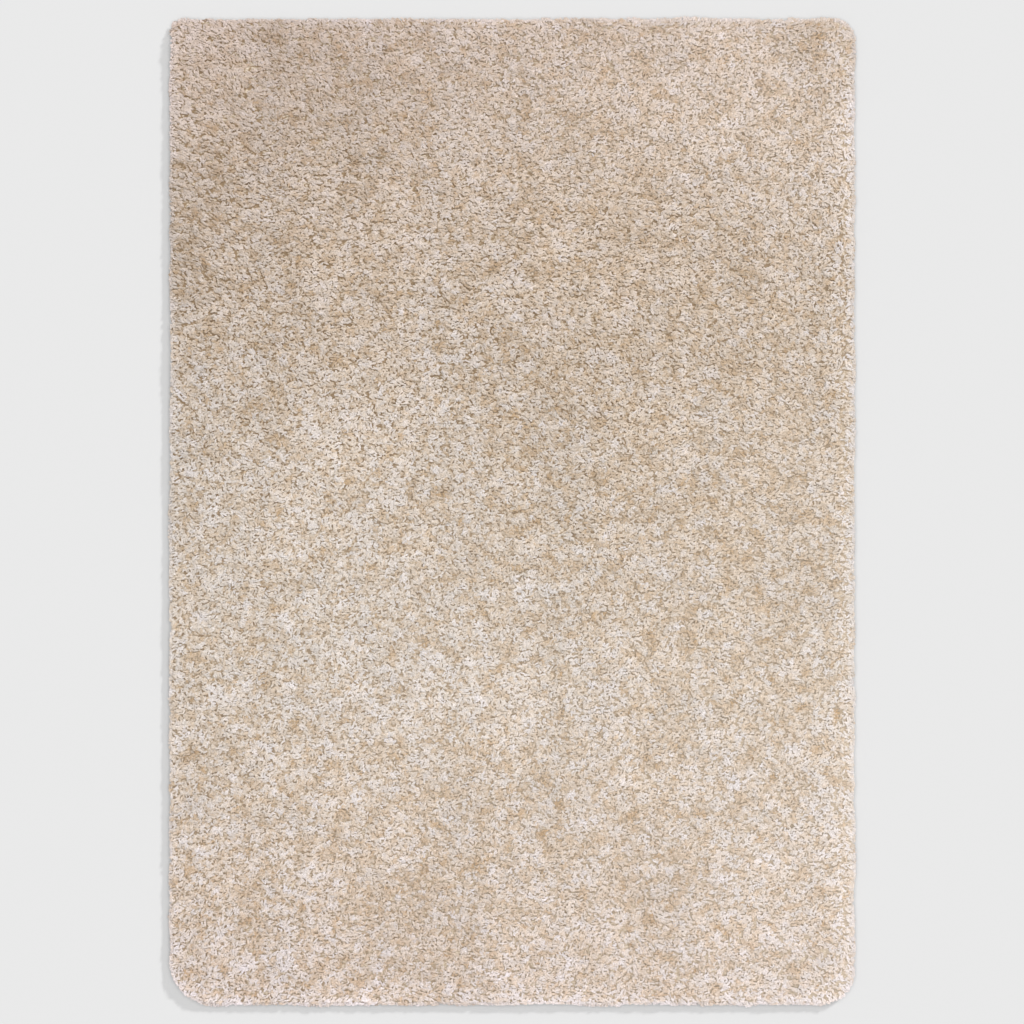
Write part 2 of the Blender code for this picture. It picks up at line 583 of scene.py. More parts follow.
def nearest_clump(x, y, clump_x, clump_y):
    """The number of the clump whose centre is nearest to each point."""
    centres = KDTree(len(clump_x))
    for number, (at_x, at_y) in enumerate(zip(clump_x.tolist(), clump_y.tolist(), strict=True)):
        centres.insert((at_x, at_y, 0), number)
    centres.balance()
    places = zip(x.tolist(), y.tolist(), strict=True)
    return np.array([centres.find((at_x, at_y, 0))[1] for at_x, at_y in places])


clump_x, clump_y = staggered_grid(CLUMP_PITCH, CLUMP_PITCH * CLUMP_ROWS, CLUMP_JITTER, CLUMP_PITCH)
clump = nearest_clump(spot_x, spot_y, clump_x, clump_y)
clump_turn = draw.normal(0, CLUMP_TURN, clump_x.size)
lies_back = draw.uniform(0, 1, clump_x.size) < TURNED_BACK
clump_side = np.where(lies_back, TURNED_BACK_ANGLE, NAP_ANGLE)
clump_lift = draw.normal(0, CLUMP_LIFT, clump_x.size)
clump_tone = draw.normal(0, 1, clump_x.size)
print(f"they gather into {clump_x.size} clumps, and {lies_back.sum()} of these lie back")

# %% [markdown]
# ## Which way each lock leans
#
# A lock rises from its root and bends over. The way it leans is the nap's, plus its clump's
# turn, plus its own, which is small where the pile is tidy. Near the rim nothing holds the
# yarn up, so it turns outwards there, and a lock whose nap points inwards often flips round.
# On the right side, where out is against the nap, it keeps part of its slant.

# %% The angle of each lean
LOOSE_TURN = 48
TIDY_TURN = 20
RIM_BAND = 40 * MM
RIM_BAND_CURVE = 1.3
AGAINST_NAP_TURN = 30
MOST_RIM_TURN = 50


def turn_to(angle, target):
    """How many degrees the angle turns to reach the target, the short way round."""
    return (target - angle + 180) % 360 - 180


painted_nap_shade, nap_gold, nap_swing, tidiness = brushed(spot_x, spot_y)
depth = depth_inside(spot_x, spot_y)
rim_share = np.clip(1 - (depth - FIRST_SPOT_DEPTH) / RIM_BAND, 0, 1) ** RIM_BAND_CURVE
way_out = outwards(spot_x, spot_y)
out_angle = np.degrees(np.arctan2(way_out[:, 1], way_out[:, 0]))
out_angle -= AGAINST_NAP_TURN * np.maximum(way_out[:, 0], 0)
nap_angle = clump_side[clump] + nap_swing
lock_turn = LOOSE_TURN + (TIDY_TURN - LOOSE_TURN) * tidiness
own_turn = clump_turn[clump] + lock_turn * draw.normal(0, 1, spot_x.size)
points_inwards = np.abs(turn_to(nap_angle, out_angle)) > 90
flips = points_inwards & (draw.uniform(0, 1, spot_x.size) < 2 * rim_share)
nap_angle = nap_angle + np.where(flips, 180, 0)
to_rim = turn_to(nap_angle, out_angle)
to_rim = np.where(np.abs(to_rim) > 90, 0, np.clip(to_rim, -MOST_RIM_TURN, MOST_RIM_TURN))
angle = np.radians(nap_angle + rim_share * to_rim + (1 - 0.5 * rim_share) * own_turn)
print(f"the nap's shade runs from {painted_nap_shade.min():.2f} to {painted_nap_shade.max():.2f}")
print(f"{flips.sum()} locks near the rim flip round to lean outwards")

# %% [markdown]
# ## How far each lock leans
#
# A tuft of shag is longer than the pile is deep, so its end comes down some way from its
# root, more at the rim, where it hangs over. The tips of a clump also draw together, which
# opens the dark partings between clumps.

# %% The reach of each lean
LEAN_REACH = (7 * MM, 16 * MM)
RIM_REACH = 14 * MM
RIM_REACH_SPREAD = 3.0 * MM
CLUMP_PULL = 0.22

reach = draw.uniform(*LEAN_REACH, spot_x.size)
reach += (draw.normal(RIM_REACH, RIM_REACH_SPREAD, spot_x.size) - reach) * rim_share
lean = np.stack([np.cos(angle), np.sin(angle)], axis=1) * reach[:, None]
to_centre = np.stack([clump_x[clump] - spot_x, clump_y[clump] - spot_y], axis=1)
lean += CLUMP_PULL * to_centre
tip_x, tip_y = spot_x + lean[:, 0], spot_y + lean[:, 1]
print(f"the locks reach {reach.mean() / MM:.1f} mm over on average")

# %% [markdown]
# ## A scalloped edge
#
# The edge of a shag isn't a line: clumps stand out past it and hollows fall back. Two noises
# move the outline in and out, a slow one and one as wide as a clump. The pile's edge also
# stops a little short of the full size on each side, most on the left, because the size of a
# rug is taken over its longest ends. A tip that would pass the edge is drawn back to it.

# %% Tips that stay inside the edge
EDGE_LAYERS = (
    # strength, width, length (mm), seed
    (3.4 * MM, 110, 110, 30),
    (4.4 * MM, 34, 34, 31),
)
LEFT_SHORTFALL = 4.2 * MM
RIGHT_SHORTFALL = 2.6 * MM
END_SHORTFALL = 1.0 * MM
END_BAND = 0.03
EDGE_SPREAD = (-1 * MM, 3 * MM)


def outline_wave(x, y):
    """How far the scalloped edge of the pile stands in or out of its plain outline."""
    at_sides = np.where(x < 0, LEFT_SHORTFALL, RIGHT_SHORTFALL)
    shortfall = np.where(np.abs(y) > half_length - END_BAND, END_SHORTFALL, at_sides)
    return layered_noise(x, y, EDGE_LAYERS) - shortfall


too_far = depth_inside(tip_x, tip_y) + outline_wave(tip_x, tip_y)
too_far = np.minimum(too_far - draw.uniform(*EDGE_SPREAD, tip_x.size), 0)
tip_way_out = outwards(tip_x, tip_y)
tip_depth = np.maximum(depth_inside(tip_x, tip_y), 0)
tip_x, tip_y = tip_x + tip_way_out[:, 0] * too_far, tip_y + tip_way_out[:, 1] * too_far
print(f"{(too_far < 0).sum()} tips are drawn back to the edge")

# %% [markdown]
# ## How deep the tips lie
#
# Most ends lie near the top, and fewer and fewer lie deeper, which is what an exponential
# spread gives. Here and there the yarn parts and leaves a pit, through which the lower yarn
# shows. Both are deeper where the pile is ruffled. Each root stands a fixed way below, but
# never lower than the ground cloth.

# %% Roots and tips
USUAL_SINK = 0.9 * MM
DEEPEST_SINK = 9 * MM
PIT_SINK = 8 * MM
PIT_WIDTH, PIT_LENGTH, PIT_SEED = 8 * MM, 6 * MM, 41
PIT_STEEPNESS = 3.2
PIT_RARITY = 1.7
ROOT_DEPTH = 12 * MM
LOWEST_ROOT = 2.5 * MM

pit_noise = soft_noise(tip_x, tip_y, PIT_WIDTH, PIT_LENGTH, PIT_SEED)
pit = np.clip(pit_noise * PIT_STEEPNESS - PIT_RARITY, 0, 1)
uneven = ruffled(tip_x, tip_y)
own_sink = np.minimum(draw.exponential(USUAL_SINK, tip_x.size), DEEPEST_SINK)
tip_top = pile_top(tip_x, tip_y)
tip_z = tip_top - uneven * (own_sink + PIT_SINK * pit) + clump_lift[clump]
root_top = pile_top(spot_x, spot_y)
root_z = np.maximum(np.minimum(root_top, tip_z) - ROOT_DEPTH, LOWEST_ROOT)
tips = np.stack([tip_x, tip_y, tip_z], axis=1)
roots = np.stack([spot_x, spot_y, root_z], axis=1)
print(f"the tips lie {tip_z.min() / MM:.1f} to {tip_z.max() / MM:.1f} mm above the floor")

# %% [markdown]
# ## A walk round the outline
#
# Past the last row on top, the rim's yarn hangs down to the floor. Its roots are evenly
# spaced along the outline. The walk goes corner by corner: an arc, then the straight run to
# where the next arc starts.

# %% Places along the outline
def corner_arc(number, pitch, inset):
    """Points round one corner, inset from the outline, and their ways out."""
    side_x, side_y, radius = CORNERS[number]
    centre = np.array([side_x * (half_width - radius), side_y * (half_length - radius)])
    steps = max(2, round(math.pi / 2 * radius / pitch))
    turn = math.radians(90 * number) + np.linspace(0, math.pi / 2, steps + 1)
    ways = np.stack([np.cos(turn), np.sin(turn)], axis=1)
    return centre + ways * (radius - inset), ways


def along_outline(pitch, inset):
    """Points at this pitch along the rounded outline, inset from it, and their ways out."""
    arcs = [corner_arc(number, pitch, inset) for number in range(len(CORNERS))]
    points = []
    ways = []
    for number, (arc_points, arc_ways) in enumerate(arcs):
        gap = arcs[(number + 1) % len(arcs)][0][0] - arc_points[-1]
        steps = max(1, round(float(np.hypot(*gap)) / pitch))
        share = np.arange(1, steps)[:, None] / steps
        points += [arc_points, arc_points[-1] + gap * share]
        ways += [arc_ways, np.repeat(arc_ways[-1:], steps - 1, axis=0)]
    return np.concatenate(points), np.concatenate(ways)


SIDE_PITCH = 6.0 * MM
SIDE_INSET = 11 * MM
side_places, side_ways_out = along_outline(SIDE_PITCH, SIDE_INSET)
print(f"a walk round the rug passes {len(side_places)} places")

# %% [markdown]
# ## Locks down the side
#
# Rows of locks stand in the side of the rug, one above the other, and each reaches out to
# the scalloped edge and hangs. The lowest row nearly touches the floor.

# %% Rim locks
SIDE_ROWS = (
    # height of the roots, drop to the tips (mm)
    (19.0, 4.5),
    (15.0, 5.0),
    (11.0, 5.0),
    (7.0, 4.0),
    (3.6, 2.4),
)
SIDE_SHIFT = 2
SIDE_SWAY = 4.5
SIDE_SHORTFALL = (-4.5, -0.5)
SIDE_DROP_SPREAD = 1.5
LOWEST_TIP = 2.6

side_roots = []
side_tips = []
count = len(side_places)
along_rim = np.stack([-side_ways_out[:, 1], side_ways_out[:, 0]], axis=1)
for root_height, drop in SIDE_ROWS:
    places = side_places + along_rim * draw.uniform(-SIDE_SHIFT, SIDE_SHIFT, (count, 1)) * MM
    sway = along_rim * draw.normal(0, SIDE_SWAY, (count, 1)) * MM
    stick_out = SIDE_INSET + draw.uniform(*SIDE_SHORTFALL, count) * MM
    stick_out = stick_out + outline_wave(places[:, 0], places[:, 1])
    tip_height = root_height - drop + draw.uniform(-SIDE_DROP_SPREAD, SIDE_DROP_SPREAD, count)
    tip_places = places + side_ways_out * stick_out[:, None] + sway
    side_roots.append(np.column_stack([places, np.full(count, root_height * MM)]))
    side_tips.append(np.column_stack([tip_places, np.maximum(tip_height, LOWEST_TIP) * MM]))
side_roots = np.concatenate(side_roots)
side_tips = np.concatenate(side_tips)
print(f"{len(side_roots)} locks hang round the rim")

# %% [markdown]
# ## The form of a lock
#
# A lock is a bent, flattened spindle: a point at its root, which the pile hides, a rounded
# bend where it is widest, and a cut end as broad as a chisel. So six points make a lock:
# root, left, ridge, right, and the left and right of the cut end. On top of the pile its flat
# lower side never shows, so there it has only its five upper triangles, few enough for well
# over a hundred thousand locks. Round the rim it is closed.

# %% The faces of a lock
UPPER_FACES = [(0, 3, 2), (0, 2, 1), (1, 2, 4), (2, 5, 4), (2, 3, 5)]
LOWER_FACES = [(0, 1, 3), (1, 4, 5, 3)]

# Where the six points lie on the lock's flat pattern, on its upper and on its lower side.
UPPER_PATTERN = [(0.31, 0.04), (0.02, 0.42), (0.31, 0.42), (0.60, 0.42), (0.08, 0.96), (0.54, 0.96)]
LOWER_PATTERN = [(0.81, 0.04), (0.98, 0.42), (0.81, 0.42), (0.64, 0.42), (0.92, 0.96), (0.70, 0.96)]


def lock_layout(closed):
    """For one lock: its faces' points, where each face starts, and the points' pattern places."""
    faces = UPPER_FACES + LOWER_FACES if closed else UPPER_FACES
    corners = [point for face in faces for point in face]
    starts = np.cumsum([0] + [len(face) for face in faces[:-1]])
    upper = [UPPER_PATTERN[point] for face in UPPER_FACES for point in face]
    lower = [LOWER_PATTERN[point] for face in LOWER_FACES for point in face]
    return np.array(corners), starts, np.array(upper + lower if closed else upper)


print(f"an open lock has {len(lock_layout(False)[1])} faces, a closed one {len(lock_layout(True)[1])}")

# %% [markdown]
# ## Six points for every lock
#
# Looping over the locks in Python would take minutes, so all locks of a piece are worked out
# at once, as arrays. Each has a forward, a right and an upward direction at its bend, rolled
# a little at random, and its points are placed along them. The normals are set one by one:
# yarn is a bundle of fibres that light enters, so it looks softer and rounder than a body with
# these few faces would. Adding some of the straight-up direction to a normal does that.

# %% Points and normals
BEND_SHARE = 0.42
LOCK_ROLL = math.radians(20)
RIDGE_HEIGHT = 0.28
LOW_SIDES = 0.16
CUT_END_WIDTH = 0.6
SOFTNESS = 1.3
UP = np.array([0.0, 0.0, 1.0])


def unit(rows):
    """Each row's vector at length 1."""
    return rows / np.maximum(np.linalg.norm(rows, axis=1, keepdims=True), 1e-9)


def lock_frames(roots, tips, lift, roll):
    """Each lock's bend, and its own forward, right and upward directions there."""
    bends = roots + (tips - roots) * [BEND_SHARE, BEND_SHARE, 1.0] + UP * lift[:, None]
    level = np.column_stack([tips[:, :2] - roots[:, :2], np.zeros(len(roots))]) + [1e-6, 0, 0]
    forward = unit(unit(bends - roots) + unit(tips - bends))
    right = unit(np.cross(level, UP))
    above = np.cross(right, forward)
    cosine, sine = np.cos(roll)[:, None], np.sin(roll)[:, None]
    return bends, forward, right * cosine + above * sine, above * cosine - right * sine


def lock_points(locks):
    """The locks' bends, their points and the normals there."""
    roots, tips, width = locks["root"], locks["tip"], locks["width"][:, None]
    roll = draw.normal(0, LOCK_ROLL, len(roots))
    bends, forward, right, above = lock_frames(roots, tips, locks["lift"], roll)
    half = width / 2
    cut = half * CUT_END_WIDTH
    left_point = bends - right * half - above * width * LOW_SIDES
    ridge_point = bends + above * width * RIDGE_HEIGHT
    right_point = bends + right * half - above * width * LOW_SIDES
    ends = [tips - right * cut, tips + right * cut]
    points = np.stack([roots, left_point, ridge_point, right_point, *ends], axis=1)
    left_end = above + 0.5 * forward - 0.6 * right
    right_end = above + 0.5 * forward + 0.6 * right
    facing = [above, above - right, above, above + right, left_end, right_end]
    facing = unit(np.stack(facing, axis=1).reshape(-1, 3))
    softness = np.repeat(SOFTNESS / locks["uneven"], 6)[:, None]
    return bends, points, unit(facing + softness * UP)


print(f"a lock 5 mm wide has a ridge {5 * (RIDGE_HEIGHT + LOW_SIDES):.1f} mm above its sides")

# %% [markdown]
# ## Arrays into a mesh
#
# A mesh is built from arrays in three steps: its vertices, the vertices of each face in one
# long row, and where each face starts in that row. Numbers that the yarn's finish needs, such
# as each lock's painted shade, are stored on the vertices as attributes. How far a point lies
# below the top of the pile is one of them, because the finish paints shade on yarn deep down.

# %% A mesh of locks, and the numbers it carries
def lock_mesh(name, points, corners, starts):
    """One mesh of all these locks."""
    first = np.arange(len(points))[:, None]
    row = (corners[None, :] + 6 * first).ravel()
    face_starts = (starts[None, :] + corners.size * first).ravel()
    mesh = bpy.data.meshes.new(name)
    mesh.vertices.add(len(points) * 6)
    mesh.vertices.foreach_set("co", points.astype(np.float32).ravel())
    mesh.loops.add(row.size)
    mesh.loops.foreach_set("vertex_index", row.astype(np.int32))
    mesh.polygons.add(face_starts.size)
    mesh.polygons.foreach_set("loop_start", face_starts.astype(np.int32))
    mesh.update(calc_edges=True)
    mesh.shade_smooth()
    return mesh


def store(mesh, label, values):
    """Stores one number for each of the mesh's points."""
    layer = mesh.attributes.new(label, "FLOAT", "POINT")
    layer.data.foreach_set("value", values.astype(np.float32))


def store_looks(mesh, locks, points):
    """Stores how deep each point lies, and the looks of the lock that it belongs to."""
    way_along = np.array([0, BEND_SHARE, BEND_SHARE, BEND_SHARE, 1, 1])
    root_top, tip_top = locks["root_top"][:, None], locks["tip_top"][:, None]
    top = root_top + (tip_top - root_top) * way_along
    # How deep each point lies sets the painted shade on the low yarn.
    sunk = locks["uneven"][:, None] * (top - points[:, :, 2]) / MM
    store(mesh, "sunk_mm", sunk.ravel())
    store(mesh, "pile_rose", np.repeat(rosy(locks["root"][:, 0], locks["root"][:, 1]), 6))
    for label in ("painted_pile_shade", "pile_gold", "lock_tone_and_painted_light"):
        store(mesh, label, np.repeat(locks[label], 6))


print("a mesh of locks carries five numbers at each point")

# %% [markdown]
# ## Two flat patterns
#
# A UV map lays the faces out flat. One map, for baking, gives each lock a cell of its own in
# a square, so that no two locks share any colour. The other follows the yarn: its first
# number goes round the lock and its second counts the turns of the twist along it. Shag yarn
# of two plies makes about one turn in 9 mm, and each lock starts at another point of its turn.

# %% Maps for baking and for the twist
TWIST_PITCH = 9 * MM
OPEN_LOCK_STRETCH = 1.6


def lay_out(mesh, locks, bends, pattern, closed):
    """Adds the two maps to a mesh of locks."""
    count = len(bends)
    cells = math.ceil(math.sqrt(count))
    cell = np.stack([np.arange(count) % cells, np.arange(count) // cells], axis=1)
    stretch = [1.0 if closed else OPEN_LOCK_STRETCH, 1.0]
    places = (cell[:, None, :] + pattern[None, :, :] * stretch) / cells
    bake_map = mesh.uv_layers.new(name="OFBake")
    bake_map.data.foreach_set("uv", places.astype(np.float32).ravel())

    root_part = np.linalg.norm(bends - locks["root"], axis=1)
    tip_part = np.linalg.norm(locks["tip"] - bends, axis=1)
    turns = pattern[None, :, 1] * ((root_part + tip_part) / TWIST_PITCH)[:, None]
    around = pattern[None, :, 0] + draw.uniform(0, 1, count)[:, None]
    run = np.stack([around, turns], axis=2)
    yarn_map = mesh.uv_layers.new(name="yarn_run")
    yarn_map.data.foreach_set("uv", run.astype(np.float32).ravel())
    bake_map.active_render = True


print(f"the twist makes a turn every {TWIST_PITCH / MM:.0f} mm")

# %% [markdown]
# ## Grow locks
#
# The steps above, in a row, turn a table of locks into one object. The table is a dictionary
# of arrays, with one row for each lock: where its root and tip are, its width, how far its
# bend stands above its tip, how high the pile is over its root and its tip, how uneven the
# pile is there, and the looks of its yarn.

# %% One object of many locks
def count_triangles(piece):
    """How many triangles the piece has."""
    piece.data.calc_loop_triangles()
    return len(piece.data.loop_triangles)


def grow_locks(name, locks, material, closed):
    """One object with all these locks."""
    corners, starts, pattern = lock_layout(closed)
    bends, points, facing = lock_points(locks)
    mesh = lock_mesh(name, points, corners, starts)
    store_looks(mesh, locks, points)
    lay_out(mesh, locks, bends, pattern, closed)
    mesh.normals_split_custom_set_from_vertices(facing)
    mesh.materials.append(material)
    piece = bpy.data.objects.new(name, mesh)
    bpy.context.scene.collection.objects.link(piece)
    print(f"{name}: {len(points)} locks, {count_triangles(piece)} triangles")
    return piece


# %% [markdown]
# ## Heat-set polyester yarn: its colour
#
# The yarn is two thick plies of polyester, twisted and set with steam so that the cut ends
# stay in a bud. Its ends are cream, and the dye takes unevenly, so locks differ. One colour
# ramp runs from golden to pale, and each lock's tone, the nap's painted shade and the fibres
# pick a place on it. Then painted shade darkens the low parts of a lock towards a browner
# yarn, and two tints make it more golden or more rosy.

# %% From golden to pale
GOLDEN_YARN = "c0ab91"
CREAM_YARN = "d9d0c7"
PALE_YARN = "e3dcda"
NAP_IN_TONE = 0.3
FIBRES_IN_TONE = 0.7
RAMP_FROM, RAMP_TO = -2.65, 3.35


def tone_colour(tree, looks, fibres):
    """The colour of the yarn before it is tinted, with the nap's painted shade in its tone."""
    nap_tone = add_node(
        tree,
        "ShaderNodeMath",
        {0: looks["painted_pile_shade"], 1: NAP_IN_TONE, 2: looks["lock_tone_and_painted_light"]},
        operation="MULTIPLY_ADD",
    )
    fibre_tone = add_node(
        tree,
        "ShaderNodeMath",
        {0: fibres, 1: FIBRES_IN_TONE, 2: nap_tone.outputs[0]},
        operation="MULTIPLY_ADD",
    )
    place = add_node(
        tree,
        "ShaderNodeMapRange",
        {"Value": fibre_tone.outputs[0], "From Min": RAMP_FROM, "From Max": RAMP_TO},
    )
    colour = add_node(tree, "ShaderNodeValToRGB", {"Fac": place.outputs[0]})
    ramp = colour.color_ramp
    ramp.elements[0].position = 0.05
    ramp.elements[0].color = linear(GOLDEN_YARN)
    ramp.elements[1].position = 0.95
    ramp.elements[1].color = linear(PALE_YARN)
    ramp.elements.new(0.5).color = linear(CREAM_YARN)
    return colour.outputs["Color"]


print(f"the yarn runs from {GOLDEN_YARN} over {CREAM_YARN} to {PALE_YARN}")

# %% Painted shade on low yarn, and tints
# The colour of yarn in full painted shade, deep in the pile.
YARN_IN_PAINTED_SHADE = "a4937f"
GOLD_TINT = "fff6ea"
ROSE_TINT = "fffbff"
DEPTH_SHADE_FROM, DEPTH_SHADE_TO = 2.4, 9.0
GOLD_FROM, GOLD_TO = -1.5, 1.5

# The Mix node has sockets for numbers, vectors and colours. These are the numbers of its
# share, its two colours and its resulting colour.
SHARE, FIRST, SECOND, MIXED = 0, 6, 7, 2


def tinted_colour(tree, looks, colour):
    """The colour of the yarn with painted shade on its low part, and its two tints."""
    depth_shade_share = add_node(
        tree,
        "ShaderNodeMapRange",
        {"Value": looks["sunk_mm"], "From Min": DEPTH_SHADE_FROM, "From Max": DEPTH_SHADE_TO},
    )
    with_depth_shade = add_node(
        tree,
        "ShaderNodeMix",
        {SHARE: depth_shade_share.outputs[0], FIRST: colour, SECOND: linear(YARN_IN_PAINTED_SHADE)},
        data_type="RGBA",
    )
    golden = add_node(
        tree,
        "ShaderNodeMapRange",
        {"Value": looks["pile_gold"], "From Min": GOLD_FROM, "From Max": GOLD_TO},
    )
    tinted = add_node(
        tree,
        "ShaderNodeMix",
        {SHARE: golden.outputs[0], FIRST: with_depth_shade.outputs[MIXED], SECOND: linear(GOLD_TINT)},
        data_type="RGBA",
        blend_type="MULTIPLY",
    )
    rosy_tinted = add_node(
        tree,
        "ShaderNodeMix",
        {SHARE: looks["pile_rose"], FIRST: tinted.outputs[MIXED], SECOND: linear(ROSE_TINT)},
        data_type="RGBA",
        blend_type="MULTIPLY",
        clamp_factor=False,
    )
    return rosy_tinted.outputs[MIXED]


# Yarn this far down is in full painted shade.
print(f"yarn {DEPTH_SHADE_TO:.0f} mm below the top of the pile is {YARN_IN_PAINTED_SHADE}")

# %% [markdown]
# ## Heat-set polyester yarn: its twist
#
# Between the two plies runs a groove that winds round the lock. The map that follows the yarn
# makes it easy: round plus turns stays the same along the groove, and a sine of it crosses
# zero twice in a turn, once for each ply.

# %% The groove between the plies
def ply_height(tree):
    """How high the surface stands between the plies' groove (0) and their crown (1)."""
    run = add_node(tree, "ShaderNodeUVMap", uv_map="yarn_run")
    split = add_node(tree, "ShaderNodeSeparateXYZ", {0: run.outputs[0]})
    winding = add_node(
        tree, "ShaderNodeMath", {0: split.outputs[0], 1: split.outputs[1]}, operation="ADD"
    )
    wave = add_node(
        tree, "ShaderNodeMath", {0: winding.outputs[0], 1: 2 * math.pi}, operation="MULTIPLY"
    )
    ply = add_node(tree, "ShaderNodeMath", {0: wave.outputs[0]}, operation="SINE")
    round_ply = add_node(tree, "ShaderNodeMath", {0: ply.outputs[0]}, operation="ABSOLUTE")
    return round_ply.outputs[0]


print("the groove winds round each lock, once for each ply")

# %% [markdown]
# ## Heat-set polyester yarn: its finish
#
# Spun polyester is matt with a weak, soft sheen, from the fibres that stand off it. It
# reflects less than a smooth body would, so its specular level is low. Its index of
# refraction is polyester's own, 1.57. A fibre is 0.03 mm thick, far too fine to show, so the
# fibres are drawn as a noise of bundles 2.2 mm thick, about as fine as the picture shows.
# They make the surface lighter and darker at random, the groove darker as painted shade,
# and both raise a small bump.

# %% Painted light and shade on the surface, and the fibres
def painted_light_and_fibres(tree, looks, fibres, ply):
    """How much the colour is lightened or darkened: painted shade in the groove, the fibres' grain,
    and the nap's painted light and shade.
    """
    parts = []
    for value, lowest, highest, darkest, lightest in (
        (ply, 0.0, 0.6, 0.82, 1.0),
        (fibres, 0.3, 0.7, 0.80, 1.20),
        (looks["painted_pile_shade"], -2.0, 3.0, 0.76, 1.26),
    ):
        reach = {"From Min": lowest, "From Max": highest, "To Min": darkest, "To Max": lightest}
        part = add_node(tree, "ShaderNodeMapRange", {"Value": value, **reach})
        parts.append(part.outputs[0])
    groove_shade_and_fibres = add_node(tree, "ShaderNodeMath", {0: parts[0], 1: parts[1]}, operation="MULTIPLY")
    light = add_node(
        tree, "ShaderNodeMath", {0: groove_shade_and_fibres.outputs[0], 1: parts[2]}, operation="MULTIPLY"
    )
    return light.outputs[0]


# The groove's darkness is painted shade.
print("the groove is 18% darker than the crown of a ply")

# %% The yarn's material
POLYESTER_IOR = 1.57
FIBRE_BUNDLE = 2.2 * MM
YARN_BUMP = 0.7 * MM


def yarn():
    """The pile's finish, from the numbers that each lock carries, with painted light and shade in its
    colour.
    """
    material, tree, shader = start_finish("heat_set_polyester_yarn", 0.88, POLYESTER_IOR, 0.2)
    shader.inputs["Sheen Weight"].default_value = 0.1
    shader.inputs["Sheen Roughness"].default_value = 0.5
    looks = {
        label: add_node(tree, "ShaderNodeAttribute", attribute_name=label).outputs["Fac"]
        for label in ("sunk_mm", "painted_pile_shade", "pile_gold", "pile_rose", "lock_tone_and_painted_light")
    }
    where = add_node(tree, "ShaderNodeTexCoord")
    noise = add_node(
        tree,
        "ShaderNodeTexNoise",
        {"Vector": where.outputs["Object"], "Scale": 1 / FIBRE_BUNDLE, "Detail": 3.0},
    )
    fibres = noise.outputs["Fac"]
    ply = ply_height(tree)
    colour = tinted_colour(tree, looks, tone_colour(tree, looks, fibres))
    colour_with_painted_light = add_node(
        tree,
        "ShaderNodeVectorMath",
        {0: colour, "Scale": painted_light_and_fibres(tree, looks, fibres, ply)},
        operation="SCALE",
    )
    tree.links.new(colour_with_painted_light.outputs[0], shader.inputs["Base Color"])
    height = add_node(tree, "ShaderNodeMath", {0: fibres, 1: 1.5, 2: ply}, operation="MULTIPLY_ADD")
    bump = add_node(
        tree,
        "ShaderNodeBump",
        {"Height": height.outputs[0], "Strength": 0.7, "Distance": YARN_BUMP},
    )
    tree.links.new(bump.outputs[0], shader.inputs["Normal"])
    return material


yarn_finish = yarn()
print(f"{yarn_finish.name}: {len(yarn_finish.node_tree.nodes)} nodes")

# %% [markdown]
# ## Light at the rim
#
# The yarn at the rim bends over the edge, so it faces the light in another way than the pile
# on top does, and differently on each side of the rug. That light is painted into the yarn's
# colour. On the left and at both ends the hanging tips are painted lighter. On the right they
# are painted darker, but there and at the near end a wide band further in is painted paler.
# Each side gets its row in a table, and a corner blends the rows of its two sides. The rim's
# yarn is also painted the palest, as painted light: one sees only its ends there, and none of
# the painted shade further down.

# %% Painted light: paler yarn towards the edge
RIM_LIGHT = (
    # the side's way out x, y, more light on the hanging tips, more light further in
    (-1, 0, 0.95, 0.0),
    (1, 0, -1.2, 1.25),
    (0, 1, 0.35, 0.15),
    (0, -1, 0.5, 1.0),
)
RIM_LIGHT_REACH = 8 * MM
FAR_RIM_REACH = 46 * MM
RIM_PAINTED_PALENESS = 0.7
RIM_PAINTED_PALE_REACH = 16 * MM
NAP_SPREAD = 0.35
GOLD_LOST_TO_LIGHT = 0.6


def rim_light(ways):
    """How much painted light yarn gets that faces these ways: on its tips, and further in."""
    light = np.zeros((len(ways), 2))
    for side_x, side_y, on_tips, further_in in RIM_LIGHT:
        share = np.maximum(ways @ [side_x, side_y], 0) ** 2
        light += share[:, None] * [on_tips, further_in]
    return light


on_tips, further_in = rim_light(tip_way_out).T
# The rim's yarn is painted paler, as painted light.
rim_painted_pale = RIM_PAINTED_PALENESS * np.exp(-tip_depth / RIM_PAINTED_PALE_REACH)
on_tips = on_tips * np.exp(-((tip_depth / RIM_LIGHT_REACH) ** 2))
further_in = further_in * np.exp(-((tip_depth / FAR_RIM_REACH) ** 2))
# The rim's light is painted light, added to the nap's painted shade.
painted_nap_shade = painted_nap_shade + on_tips + further_in + draw.normal(0, NAP_SPREAD, spot_x.size)
print(f"the rim's light goes from {on_tips.min():.2f} to {(on_tips + further_in).max():.2f}")

# %% [markdown]
# ## The tone of each lock
#
# Each lock is lighter or darker than its neighbours. Part of that is its own, part its
# clump's, part its tuft's, and part a mottle that is a few clumps wide. Pale tufts are less
# golden and dark ones more so. Pits are painted darkest, as painted shade. How strong all
# this is follows the speckles and the unevenness of the place. The rim's painted paleness,
# painted light, is added to the tone as well.

# %% Tone and gold
MOTTLE_LAYERS = (
    # strength, width, length (mm), seed
    (1.2, 14, 12, 42),
    (0.9, 26, 22, 43),
    (0.2, 85, 70, 44),
)
TUFT_LAYERS = ((1, 9.5, 8, 46),)
GOLD_SPOT_LAYERS = ((0.6, 11, 9, 45),)
PIT_PAINTED_SHADE = 1.5
OWN_TONE = 0.3
CLUMP_TONE = 0.35
USUAL_GOLD = 0.46

